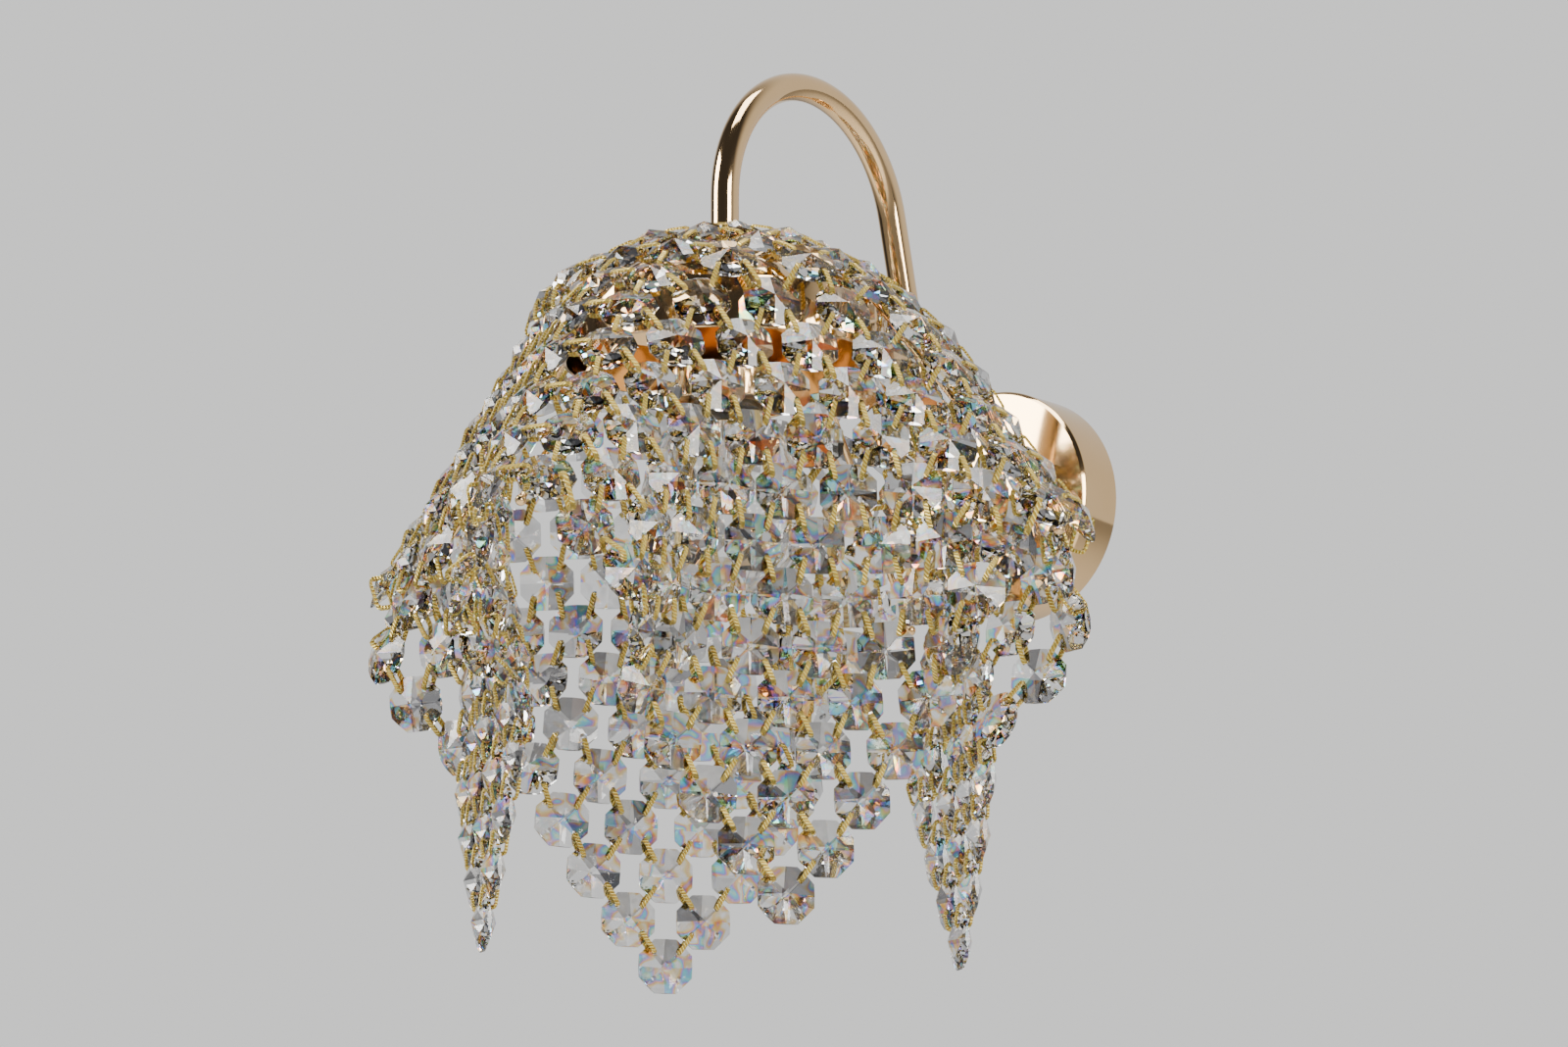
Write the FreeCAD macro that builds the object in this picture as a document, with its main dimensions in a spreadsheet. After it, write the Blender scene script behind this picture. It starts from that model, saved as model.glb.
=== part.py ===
import FreeCAD, Part
import math
import os
import Sketcher
from FreeCAD import Placement, Rotation, Vector

# Crystal wall sconce. A gooseneck tube rises from a round backplate and carries an inverted pan,
# and a square net of octagonal crystals is draped over the pan like a handkerchief. Four ribs
# hold out the middles of the net's sides and its four corners hang free.
# Millimetres, +Z up. The wall is the plane Y = 0 and the fitting stands out of it toward -Y.

os.makedirs("parts", exist_ok=True)
doc = FreeCAD.newDocument("sconce")

# ---------------------------------------------------------------- sizes
sizes = {
    # play and play-like distances
    "gap": 0.3, "fit": 0.1,
    # backplate and what is behind it
    "plate_r": 41.6, "plate_depth": 20.4, "plate_wall": 1.2, "plate_dome": 1.6, "plate_bevel": 1.2,
    "strap_width": 20, "strap_length": 71, "strap_thick": 2, "ear_depth": 15, "wall_hole_r": 2.25,
    "wall_hole_spacing": 52, "cable_hole_r": 5, "cover_screw_r": 2, "cover_screw_length": 5,
    # gooseneck tube
    "tube_r": 5, "tube_wall": 1, "tube_start": 11, "bend_r": 28, "arc_r": 49.7, "arc_height": 83.3,
    "reach": 178.8, "leg_angle": 75.7, "tube_end": 46, "thread_r": 5,
    "nut_flats": 14, "nut_height": 4, "pan_nut_height": 3.5, "washer_r": 9, "washer_thick": 1.2,
    # pan
    "apex": 63.5, "pan_r": 57, "pan_rise": 22, "pan_rim": 18.5, "pan_wall": 1.5,
    # lampholder
    "cup_r": 23.5, "cup_length": 50, "cup_wall": 1.2, "cup_gap": 4.6, "holder_r": 19, "holder_length": 36,
    "shell_r": 13.6, "shell_wall": 0.5, "shell_length": 24, "socket_top": 8,
    # lamp
    "lamp_cap_r": 12.8, "lamp_cap_wall": 0.4, "lamp_cap_top": 1.5, "lamp_cap_length": 22, "lamp_pip_r": 4.5, "lamp_pip": 2.2, "globe_r": 30,
    "globe_wall": 1, "neck_length": 36, "neck_straight": 12, "lamp_pole_r": 1.5,
    "filament_r": 0.8, "filament_length": 30, "filament_ring_r": 6,
    "stem_r": 2, "stem_disc_r": 8, "stem_disc": 1,
    # crystal net
    "pitch": 21.3, "crystal": 19.6, "crystal_thick": 9, "hole_offset": 6.5, "wire_r": 0.7,
    "rib_r": 1.25, "rib_drop": 5.2, "rib_foot": 1.2, "rib_tab_width": 7, "rib_tab_height": 11,
}
formulas = {
    "plate_in_r": "plate_r - plate_wall", "plate_in_depth": "plate_depth - plate_wall",
    "plate_shoulder": "plate_depth - plate_bevel", "plate_face_r": "plate_r - plate_bevel",
    "plate_face": "plate_depth + plate_dome", "plate_hole_r": "tube_r + fit",
    "plate_in_dome": "plate_in_depth + plate_dome",
    "plate_sphere": "(plate_face_r^2 + plate_dome^2) / (2 * plate_dome)",
    "ear_y": "strap_length / 2 - strap_thick", "tube_bore_r": "tube_r - tube_wall",
    "pan_hole_r": "tube_r + fit", "pan_in_r": "pan_r - pan_wall", "pan_height": "pan_rim + pan_rise",
    "pan_sphere": "(pan_r^2 + pan_rise^2) / (2 * pan_rise)", "pan_in_height": "pan_height - pan_wall",
    "pan_in_rim": "pan_rim - pan_wall / 2", "pan_in_rise": "pan_in_height - pan_in_rim",
    "pan_in_sphere": "(pan_in_r^2 + pan_in_rise^2) / (2 * pan_in_rise)",
    "pan_top": "pan_height - pan_sphere + sqrt(pan_sphere^2 - pan_hole_r^2)",
    "pan_in_top": "pan_in_height - pan_in_sphere + sqrt(pan_in_sphere^2 - pan_hole_r^2)",
    "cup_top": "apex - pan_wall - cup_gap", "cup_in_r": "cup_r - cup_wall",
    "cup_in_length": "cup_length - cup_wall", "cup_hole_r": "tube_r + fit",
    "holder_in_r": "shell_r + gap", "holder_cavity": "holder_length - socket_top",
    "holder_bore_r": "tube_r + 1", "shell_in_r": "shell_r - shell_wall",
    "shell_base": "shell_length - shell_wall", "shell_hole_r": "lamp_pip_r + 2",
    "globe_in_r": "globe_r - globe_wall", "lamp_cap_in_r": "lamp_cap_r - lamp_cap_wall",
    "neck_r": "lamp_cap_in_r - gap", "neck_in_r": "neck_r - globe_wall",
    "lamp_waist": "globe_r + sqrt(globe_r^2 - lamp_shoulder_r^2)", "lamp_shoulder_r": "globe_r * 0.8",
    "lamp_in_shoulder_r": "sqrt(globe_in_r^2 - globe_r^2 + lamp_shoulder_r^2)",
    "lamp_pole": "globe_r - sqrt(globe_r^2 - lamp_pole_r^2)",
    "lamp_in_pole": "globe_r - sqrt(globe_in_r^2 - lamp_pole_r^2)", "lamp_top": "lamp_waist + neck_length",
    "lamp_neck": "lamp_top - neck_straight",
}

sheet = doc.addObject("Spreadsheet::Sheet", "sizes")
for row, (name, value) in enumerate(list(sizes.items()) + list(formulas.items()), 1):
    sheet.set("A%d" % row, name)
    sheet.set("B%d" % row, str(value) if name in sizes else "=" + value)
    sheet.setAlias("B%d" % row, name)
doc.recompute()


def size(name):
    """A value read back from the sheet."""
    return float(sheet.get(name))


def bind(thing, **rules):
    for prop, rule in rules.items():
        thing.setExpression(prop, rule)


def named(name):
    """The same rule with every sheet value written out in full for the expression engine."""
    return "<<sizes>>." + name


# ---------------------------------------------------------------- sketches
def origin_plane(body, role):
    return [f for f in body.Origin.OriginFeatures if f.Role == role][0]


def new_sketch(body, name, role="XZ_Plane"):
    sketch = body.newObject("Sketcher::SketchObject", name)
    sketch.AttachmentSupport = [(origin_plane(body, role), "")]
    sketch.MapMode = "FlatFace"
    return sketch


def fix_point(sketch, geo, end, across, up):
    """Hold one end of a line at sheet values; None is zero and lies on the sketch's own axis."""
    for kind, value, axis in (("DistanceX", across, -2), ("DistanceY", up, -1)):
        if value is None:
            sketch.addConstraint(Sketcher.Constraint("PointOnObject", geo, end, axis))
        else:
            at = sketch.addConstraint(Sketcher.Constraint(kind, -1, 1, geo, end, size(value)))
            sketch.setExpression("Constraints[%d]" % at, named(value))


def outline(sketch, corners, arcs=()):
    """A closed outline through corners (across, up); arcs maps a side to (radius, bulge side)."""
    arcs = dict(arcs)
    spots = [Vector(size(a) if a else 0, size(u) if u else 0, 0) for a, u in corners]
    for k, start in enumerate(spots):
        end = spots[(k + 1) % len(spots)]
        if k in arcs:
            radius, side = size(arcs[k][0]), arcs[k][1]
            half = (end - start) * 0.5
            normal = Vector(half.y, -half.x, 0).normalize() * side
            sag = radius - math.sqrt(radius ** 2 - half.Length ** 2)
            top = start + half + normal * sag
            edge = Part.Arc(start, top, end) if side > 0 else Part.Arc(end, top, start)
        else:
            edge = Part.LineSegment(start, end)
        sketch.addGeometry(edge, False)
    ends = []
    for k, start in enumerate(spots):
        edge = sketch.Geometry[k]
        ends.append((1, 2) if (edge.StartPoint - start).Length < 1e-6 else (2, 1))
    for k, (across, up) in enumerate(corners):
        before = (k - 1) % len(corners)
        sketch.addConstraint(Sketcher.Constraint("Coincident", before, ends[before][1], k, ends[k][0]))
        fix_point(sketch, k, ends[k][0], across, up)
    for k, (radius, side) in arcs.items():
        at = sketch.addConstraint(Sketcher.Constraint("Radius", k, size(radius)))
        sketch.setExpression("Constraints[%d]" % at, named(radius))


def turned(label, corners, arcs=(), at=Placement()):
    """A body turned about its own Z axis from an outline in the XZ plane."""
    body = doc.addObject("PartDesign::Body", label)
    sketch = new_sketch(body, label + "_outline")
    outline(sketch, corners, arcs)
    turn = body.newObject("PartDesign::Revolution", label + "_turn")
    turn.Profile = sketch
    turn.ReferenceAxis = (sketch, ["V_Axis"])
    turn.Angle = 360
    body.Placement = at
    doc.recompute()
    return body


def head(height, angle=0.0):
    """A place on the lamp head's axis."""
    return Placement(Vector(0, -size("reach"), height), Rotation(Vector(0, 0, 1), angle))


out_of_wall = Rotation(Vector(1, 0, 0), 90)      # own Z axis to -Y


def cylinder(name, radius, height, at):
    thing = doc.addObject("Part::Cylinder", name)
    bind(thing, Radius=radius, Height=height)
    thing.Placement = at
    return thing


def box(name, length, width, height, at):
    thing = doc.addObject("Part::Box", name)
    bind(thing, Length=length, Width=width, Height=height)
    thing.Placement = at
    return thing


def joined(name, parts):
    thing = doc.addObject("Part::MultiFuse", name)
    thing.Shapes = parts
    doc.recompute()
    return thing


def cut(name, base, tool):
    thing = doc.addObject("Part::Cut", name)
    thing.Base, thing.Tool = base, tool
    doc.recompute()
    return thing


def hex_nut(label, at, height="nut_height"):
    """A hexagon nut on the tube's thread."""
    blank = doc.addObject("Part::Prism", label + "_blank")
    blank.Polygon = 6
    bind(blank, Circumradius=named("nut_flats") + " / 2 / cos(30)", Height=named(height))
    blank.Placement = at
    bore = cylinder(label + "_bore", named("thread_r") + " + " + named("fit"),
                    named(height), at)
    return cut(label, blank, bore)


# ---------------------------------------------------------------- at the wall
strap = box("strap", named("strap_width"), named("strap_thick"), named("strap_length"),
            Placement(Vector(-size("strap_width") / 2, -size("strap_thick"), -size("strap_length") / 2),
                      Rotation()))
ears = []
for name, low in (("ear_top", size("strap_length") / 2 - size("strap_thick")),
                  ("ear_bottom", -size("strap_length") / 2)):
    ears.append(box(name, named("strap_width"), named("ear_depth"), named("strap_thick"),
                    Placement(Vector(-size("strap_width") / 2, -size("ear_depth"), low), Rotation())))
bent_strap = joined("bent_strap", [strap] + ears)
strap_holes = [cylinder("cable_hole", named("cable_hole_r"), named("strap_thick"),
                        Placement(Vector(0, 0, 0), out_of_wall))]
for side in (-1, 1):
    strap_holes.append(cylinder("wall_hole", named("wall_hole_r"), named("strap_thick"),
                                Placement(Vector(0, 0, side * size("wall_hole_spacing") / 2), out_of_wall)))
cover_screw_y = -11.0
strap_holes.append(cylinder("ear_holes", named("cover_screw_r") + " + " + named("fit"),
                            named("strap_length"),
                            Placement(Vector(0, cover_screw_y, -size("strap_length") / 2), Rotation())))
wall_bracket = cut("wall_bracket", bent_strap, joined("strap_holes", strap_holes))

earth_screw = cylinder("earth_screw", named("cover_screw_r") + " + 1.5", "2.2",
                       Placement(Vector(0, -size("strap_thick") - size("gap"), 15), out_of_wall))

# The cover is a shallow cup with a slightly domed face, open toward the wall.
cover_cup = turned("cover_cup",
                   [("plate_in_r", None), ("plate_r", None), ("plate_r", "plate_shoulder"),
                    ("plate_face_r", "plate_depth"), (None, "plate_face"), (None, "plate_in_dome"),
                    ("plate_in_r", "plate_in_depth")],
                   {3: ("plate_sphere", 1)},
                   Placement(Vector(0, 0, 0), out_of_wall))
cover_holes = joined("cover_holes", [
    cylinder("arm_hole", named("plate_hole_r"), "30", Placement(Vector(0, 0, 0), out_of_wall)),
    cylinder("screw_hole", named("cover_screw_r") + " + " + named("fit"), "20",
             Placement(Vector(0, cover_screw_y, size("plate_r") - 10), Rotation()))])
bored_cover = cut("bored_cover", cover_cup, cover_holes)
# A fixed peg inside the lower wall drops into the bracket's lower ear.
peg = cylinder("peg", named("cover_screw_r"), "5.6",
               Placement(Vector(0, cover_screw_y, -size("plate_in_r") - 0.6), Rotation()))
backplate_cover = joined("backplate_cover", [bored_cover, peg])

cover_screw = cylinder("cover_screw", named("cover_screw_r"), named("cover_screw_length"),
                       Placement(Vector(0, cover_screw_y, size("plate_r") - size("cover_screw_length")
                                        - 1.4), Rotation()))

# ---------------------------------------------------------------- gooseneck tube
arm_tube = doc.addObject("PartDesign::Body", "arm_tube")
path = new_sketch(arm_tube, "tube_path")
leg_angle = math.radians(size("leg_angle"))
turn_in = size("bend_r") * math.tan(leg_angle / 2)
along, rise = math.cos(leg_angle), math.sin(leg_angle)
arc_mid = Vector(size("reach") - size("arc_r"), size("arc_height"), 0)
arc_start = arc_mid - Vector(rise, -along, 0) * size("arc_r")
foot = Vector(arc_start.x - arc_start.y * along / rise, 0, 0)
bend_start = foot - Vector(turn_in, 0, 0)
bend_end = foot + Vector(along, rise, 0) * turn_in
bend_mid = Vector(bend_start.x, size("bend_r"), 0)
half_turn = leg_angle / 2
stations = [Vector(size("tube_start"), 0, 0), bend_start, bend_end, arc_start,
            Vector(size("reach"), size("arc_height"), 0), Vector(size("reach"), size("tube_end"), 0)]
path.addGeometry(Part.LineSegment(stations[0], stations[1]), False)
path.addGeometry(Part.Arc(stations[1], bend_mid + Vector(math.sin(half_turn), -math.cos(half_turn), 0)
                          * size("bend_r"), stations[2]), False)
path.addGeometry(Part.LineSegment(stations[2], stations[3]), False)
path.addGeometry(Part.Arc(stations[4], arc_mid + Vector(0, size("arc_r"), 0), stations[3]), False)
path.addGeometry(Part.LineSegment(stations[4], stations[5]), False)


def end_at(geo, spot):
    return 1 if (path.Geometry[geo].StartPoint - spot).Length < 1e-4 else 2


for geo in range(4):
    path.addConstraint(Sketcher.Constraint("Tangent", geo, end_at(geo, stations[geo + 1]),
                                           geo + 1, end_at(geo + 1, stations[geo + 1])))
fix_point(path, 0, 1, "tube_start", None)
path.addConstraint(Sketcher.Constraint("Horizontal", 0))
path.addConstraint(Sketcher.Constraint("Vertical", 4))
fix_point(path, 4, 2, "reach", "tube_end")
for geo, alias in ((1, "bend_r"), (3, "arc_r")):
    mark = path.addConstraint(Sketcher.Constraint("Radius", geo, size(alias)))
    path.setExpression("Constraints[%d]" % mark, named(alias))
mark = path.addConstraint(Sketcher.Constraint("DistanceY", -1, 1, 3, 3, size("arc_height")))
path.setExpression("Constraints[%d]" % mark, named("arc_height"))
mark = path.addConstraint(Sketcher.Constraint("Angle", -1, 1, 2, 1, leg_angle))
path.setExpression("Constraints[%d]" % mark, named("leg_angle") + " * 1 deg")

ring = new_sketch(arm_tube, "tube_section", "YZ_Plane")
ring.AttachmentOffset = Placement(Vector(0, 0, size("tube_start")), Rotation())
for alias in ("tube_r", "tube_bore_r"):
    circle = ring.addGeometry(Part.Circle(Vector(0, 0, 0), Vector(0, 0, 1), size(alias)), False)
    ring.addConstraint(Sketcher.Constraint("Coincident", circle, 3, -1, 1))
    mark = ring.addConstraint(Sketcher.Constraint("Radius", circle, size(alias)))
    ring.setExpression("Constraints[%d]" % mark, named(alias))
sweep = arm_tube.newObject("PartDesign::AdditivePipe", "tube_sweep")
sweep.Profile = ring
sweep.Spine = (path, [])
arm_tube.Placement = Placement(Vector(0, 0, 0), Rotation(Vector(0, 0, 1), -90))
doc.recompute()

arm_nut_y = -size("tube_start") - 2.4
arm_nut = hex_nut("arm_nut", Placement(Vector(0, arm_nut_y, 0), out_of_wall))
arm_nut_end = arm_nut_y - size("nut_height")
washer_blank = cylinder("washer_blank", named("washer_r"), named("washer_thick"),
                        Placement(Vector(0, arm_nut_end - size("gap"), 0), out_of_wall))
washer_bore = cylinder("washer_bore", named("thread_r") + " + " + named("fit"), named("washer_thick"),
                       washer_blank.Placement)
arm_washer = cut("arm_washer", washer_blank, washer_bore)

# Terminal block on the bracket, below the cable hole.
block_y = -size("strap_thick") - size("gap")
block = box("block", "24", "11", "9", Placement(Vector(-12, block_y - 11, -17), Rotation()))
ways, screws = [], []
for k in range(3):
    spot_x = -8.0 + 8.0 * k
    ways.append(cylinder("way", "1.6", "9", Placement(Vector(spot_x, block_y - 4, -17), Rotation())))
    ways.append(cylinder("screw_well", "1.9", "4", Placement(Vector(spot_x, block_y - 7, -12.5),
                                                              out_of_wall)))
    screws.append(cylinder("clamp_screw", "1.6", "3", Placement(Vector(spot_x, block_y - 7.3, -12.5),
                                                                 out_of_wall)))
terminal_block = cut("terminal_block", block, joined("ways", ways))
terminal_screws = doc.addObject("Part::Compound", "terminal_screws")
terminal_screws.Links = screws

# ---------------------------------------------------------------- pan and lampholder
pan_base = size("apex") - size("pan_height")
pan = turned("pan",
             [("pan_in_r", None), ("pan_r", None), ("pan_r", "pan_rim"), ("pan_hole_r", "pan_top"),
              ("pan_hole_r", "pan_in_top"), ("pan_in_r", "pan_in_rim")],
             {2: ("pan_sphere", 1), 4: ("pan_in_sphere", -1)}, head(pan_base))
nut_corner = size("nut_flats") / 2 / math.cos(math.pi / 6)
pan_fall = size("pan_rise") * (nut_corner / size("pan_r")) ** 2    # of the dome over the nut's corners
pan_nut = hex_nut("pan_nut", head(size("apex") - size("pan_wall") - size("gap") - pan_fall
                                  - size("pan_nut_height")), "pan_nut_height")

cup_low = size("cup_top") - size("cup_length")
cup_shell = turned("cup_shell",
                   [("cup_in_r", None), ("cup_r", None), ("cup_r", "cup_length"), (None, "cup_length"),
                    (None, "cup_in_length"), ("cup_in_r", "cup_in_length")], (), head(cup_low))
lampholder_cup = cut("lampholder_cup", cup_shell, cylinder("cup_hole", named("cup_hole_r"),
                                                           named("cup_length") + " + 1", head(cup_low)))
cup_nut_low = size("cup_top") - size("cup_wall") - size("gap") - size("nut_height")
cup_nut = hex_nut("cup_nut", head(cup_nut_low))

holder_top = cup_nut_low - size("gap")
holder_low = holder_top - size("holder_length")
lampholder_body = turned("lampholder_body",
                         [("holder_in_r", None), ("holder_r", None), ("holder_r", "holder_length"),
                          ("holder_bore_r", "holder_length"), ("holder_bore_r", "holder_cavity"),
                          ("holder_in_r", "holder_cavity")], (), head(holder_low))
shell_low = holder_low + size("holder_cavity") - size("gap") - size("shell_length")
lampholder_shell = turned("lampholder_shell",
                          [("shell_in_r", None), ("shell_r", None), ("shell_r", "shell_length"),
                           ("shell_hole_r", "shell_length"), ("shell_hole_r", "shell_base"),
                           ("shell_in_r", "shell_base")], (), head(shell_low))

# ---------------------------------------------------------------- lamp
contact_z = shell_low + size("shell_base") - 1.6
lampholder_contact = box("lampholder_contact", "9", "4", "0.6",
                         Placement(Vector(-4.5, -size("reach") - 2, contact_z), Rotation()))
pip_top = contact_z - size("gap")
lamp_contact = cylinder("lamp_contact", named("lamp_pip_r"), named("lamp_pip"),
                        head(pip_top - size("lamp_pip")))
cap_top = pip_top - size("lamp_pip") - size("gap")
cap_low = cap_top - size("lamp_cap_length")
cap_blank = cylinder("cap_blank", named("lamp_cap_r"), named("lamp_cap_length"), head(cap_low))
cap_hollow = cylinder("cap_hollow", named("lamp_cap_in_r"),
                      named("lamp_cap_length") + " - " + named("lamp_cap_top"), head(cap_low))
lamp_cap = cut("lamp_cap", cap_blank, cap_hollow)
glass_low = cap_low + 8 - size("lamp_top")
lamp_glass = turned("lamp_glass",
                    [(None, "lamp_pole"), ("lamp_pole_r", "lamp_pole"),
                     ("lamp_shoulder_r", "lamp_waist"), ("neck_r", "lamp_neck"),
                     ("neck_r", "lamp_top"), ("neck_in_r", "lamp_top"), ("neck_in_r", "lamp_neck"),
                     ("lamp_in_shoulder_r", "lamp_waist"),
                     ("lamp_pole_r", "lamp_in_pole"), (None, "lamp_in_pole")],
                    {1: ("globe_r", 1), 7: ("globe_in_r", -1)}, head(glass_low))
filaments = []
filament_low = glass_low + size("globe_r") - size("filament_length") / 2
for k in range(4):
    spot = head(filament_low, 90 * k)
    spot = Placement(spot.Base + spot.Rotation.multVec(Vector(size("filament_ring_r"), 0, 0)), spot.Rotation)
    filaments.append(cylinder("filament", named("filament_r"), named("filament_length"), spot))
lamp_filaments = doc.addObject("Part::Compound", "lamp_filaments")
lamp_filaments.Links = filaments
stem_low = filament_low + size("filament_length") + size("gap")
stem_top = cap_top - size("lamp_cap_top") - size("gap")
lamp_stem = joined("lamp_stem", [cylinder("stem_disc_part", named("stem_disc_r"), named("stem_disc"),
                                          head(stem_low)),
                                 cylinder("stem_rod", named("stem_r"), "%.3f" % (stem_top - stem_low),
                                          head(stem_low))])
doc.recompute()

# ---------------------------------------------------------------- the crystal net
# Eighteen by eighteen crystals. Only one quarter is relaxed, the rest are its mirror images.
# A crystal's row is its distance from the middle of the net counted along both directions.
side = 9                       # crystals from the middle to an edge
crown_rows, face_rows = 5, 9   # rows that rest on the pan, and the last row above the corners
pitch, half_thick = size("pitch"), size("crystal_thick") / 2
seat = half_thick + size("gap")
ridge_radius, ridge_drop = 134.0, 107.0    # end of a rib, from the axis and below the pan's apex
rib_top_radius, rib_top_drop = 68.0, 26.0  # where a ridge leaves the pan
gravity, time_step, damping = 9800.0, 0.002, 0.97
row_least, row_most, row_tip = 21.3, 22.5, 27.5    # spacing of neighbours in one row


def pan_surface(radius):
    """Height over the apex at which a crystal's centre rests on the pan's round top."""
    ball = (size("pan_r") ** 2 + size("pan_rise") ** 2) / (2 * size("pan_rise"))
    return math.sqrt((ball + seat) ** 2 - min(radius, size("pan_r")) ** 2) - ball


def net_links():
    """Pairs of crystals with the least and the greatest distance between them."""
    links = []
    for i in range(side):
        for j in range(side):
            if i < side - 1:
                links.append((i, j, i + 1, j, 0.985 * pitch, pitch))
            if j < side - 1:
                links.append((i, j, i, j + 1, 0.985 * pitch, pitch))
            if i < side - 1 and j > 0:
                row = i + j + 1
                spread = (row_tip - row_least) * max(0, row - face_rows) / (side - 2)
                most = row_most + spread if row > crown_rows + 1 else 1e9
                links.append((i, j, i + 1, j - 1, row_least + spread, most))
    return links


def settle(net, links):
    """One pass of link lengths, seats on pan and ribs, and symmetry of the quarter."""
    for i, j, k, l, least, most in links:
        a, b = net[i][j], net[k][l]
        apart = [b[n] - a[n] for n in range(3)]
        length = math.sqrt(apart[0] ** 2 + apart[1] ** 2 + apart[2] ** 2)
        wanted = min(max(length, least), most)
        if wanted != length:
            share = (length - wanted) / length / 2
            for n in range(3):
                a[n] += share * apart[n]
                b[n] -= share * apart[n]
    reach = size("pan_r") + seat
    for row in net:
        for c in row:
            radius = math.hypot(c[0], c[1])
            if radius < reach and c[2] > -size("pan_height"):
                top = pan_surface(radius)
                if c[2] < top and top - c[2] < reach - radius:
                    c[2] = top
                elif c[2] < top:
                    c[0] *= reach / radius
                    c[1] *= reach / radius
    ridge_x = math.sqrt(ridge_radius ** 2 - (pitch / 2) ** 2)
    fall = (ridge_drop - rib_top_drop) / (ridge_x - rib_top_radius)
    for k in range(side):
        a, b = net[k][0], net[0][k]
        a[1] = b[0] = pitch / 2
        low = (-rib_top_drop - fall * (a[0] - rib_top_radius)) - a[2]
        if a[0] > rib_top_radius - 4 and low > 0:
            push = low / (1 + fall ** 2)
            a[0] += push * fall
            a[2] += push
            b[1], b[2] = a[0], a[2]
    net[side - 1][0] = [ridge_x, pitch / 2, -ridge_drop]
    net[0][side - 1] = [pitch / 2, ridge_x, -ridge_drop]
    net[0][0][:2] = [pitch / 2, pitch / 2]


def relax(steps=420, passes=8):
    """Centres of one quarter's crystals over the pan's apex, hung until they come to rest."""
    net = [[[0.73 * pitch * (i + 0.5), 0.73 * pitch * (j + 0.5), 30 - 0.66 * pitch * (i + j)]
            for j in range(side)] for i in range(side)]
    before = [[list(c) for c in row] for row in net]
    links = net_links()
    for step in range(steps):
        for i in range(side):
            for j in range(side):
                c, o = net[i][j], before[i][j]
                radius = math.hypot(c[0], c[1])
                spring = 0.2 if i + j < side else 0.02     # the close rows stiffen the faces
                pull = [spring * c[0] / radius, spring * c[1] / radius, -1.0]
                move = [(c[n] - o[n]) * damping + pull[n] * gravity * time_step ** 2 for n in range(3)]
                speed = math.sqrt(sum(m * m for m in move))
                slow = min(1.0, 6.0 / max(speed, 1e-9))
                before[i][j] = list(c)
                net[i][j] = [c[n] + move[n] * slow for n in range(3)]
        for repeat in range(passes):
            settle(net, links)
        for i in range(side):
            for j in range(i + 1):
                a, b = net[i][j], net[j][i]
                x, y, z = (a[0] + b[1]) / 2, (a[1] + b[0]) / 2, (a[2] + b[2]) / 2
                net[i][j], net[j][i] = [x, y, z], [y, x, z]
    return net


quarter = relax()


def centre(i, j):
    """Centre of a crystal, i and j from -9 to 8, in the head's own frame over the apex."""
    a, b = (i if i >= 0 else -1 - i), (j if j >= 0 else -1 - j)
    x, y, z = quarter[a][b]
    return Vector(x if i >= 0 else -x, y if j >= 0 else -y, z)


def row_of(i, j):
    return (i if i >= 0 else -1 - i) + (j if j >= 0 else -1 - j) + 1


def crystal_frame(i, j):
    """Axes of a crystal: its two hole directions and its outward normal."""
    u = (centre(min(i + 1, side - 1), j) - centre(max(i - 1, -side), j)).normalize()
    v = (centre(i, min(j + 1, side - 1)) - centre(i, max(j - 1, -side))).normalize()
    both, apart = (u + v).normalize(), (u - v).normalize()
    x, y = (both + apart).normalize(), (both - apart).normalize()
    return x, y, x.cross(y).normalize()


def crystal_shape():
    """One octagonal crystal, eight flats round the edge and a point on each side."""
    corner = size("crystal") / 2 / math.cos(math.pi / 8)
    rim = [Vector(corner * math.cos(math.radians(22.5 + 45 * k)),
                  corner * math.sin(math.radians(22.5 + 45 * k)), 0) for k in range(8)]
    faces = []
    for k in range(8):
        a, b = rim[k], rim[(k + 1) % 8]
        for point in (Vector(0, 0, half_thick), Vector(0, 0, -half_thick)):
            faces.append(Part.Face(Part.makePolygon([a, b, point, a])))
    return Part.Solid(Part.Shell(faces))


def facet_height(offset):
    """Height of a crystal's facet over its middle plane, this far out toward a flat."""
    return half_thick * (1 - offset / (size("crystal") / 2))


def outside(spot, i, j):
    """How far a point lies clear of a crystal's facets, less than nothing inside it."""
    x, y, normal = crystal_frame(i, j)
    away = spot - centre(i, j)
    a, b, height = abs(away.dot(x)), abs(away.dot(y)), abs(away.dot(normal))
    across, up = 2 / size("crystal"), 1 / half_thick
    return (max(a, b, (a + b) / math.sqrt(2)) * across + height * up - 1) / math.hypot(across, up)


def swung(spot, i, j, angle):
    """A point turned about the line on which the corner holding this crystal swings."""
    pairs = [(quarter[k][face_rows - 1 - k], quarter[k + 1][face_rows - 1 - k])
             for k in range(face_rows - 1)]
    middle = Vector(sum(a[0] + b[0] + a[1] + b[1] for a, b in pairs), 0,
                    sum(a[2] + b[2] for a, b in pairs) * 2) * (0.25 / len(pairs))
    out = Vector(1 if i >= 0 else -1, 1 if j >= 0 else -1, 0)
    middle = Vector(out.x * middle.x, out.y * middle.x, middle.z)
    return middle + Rotation(Vector(-out.y, out.x, 0), angle).multVec(spot - middle)


def pin_clears(start, end, up, crystal, angles):
    """Whether the flat side of a pin stays clear of a crystal, also as its corner swings."""
    across = up.cross(end - start).normalize() * size("wire_r")
    return all(outside(swung(start + (end - start) * (n / 32) + across * way, *crystal, angle), *crystal)
               >= size("gap") / 2 for n in range(33) for way in (-1, 1) for angle in angles)


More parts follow.
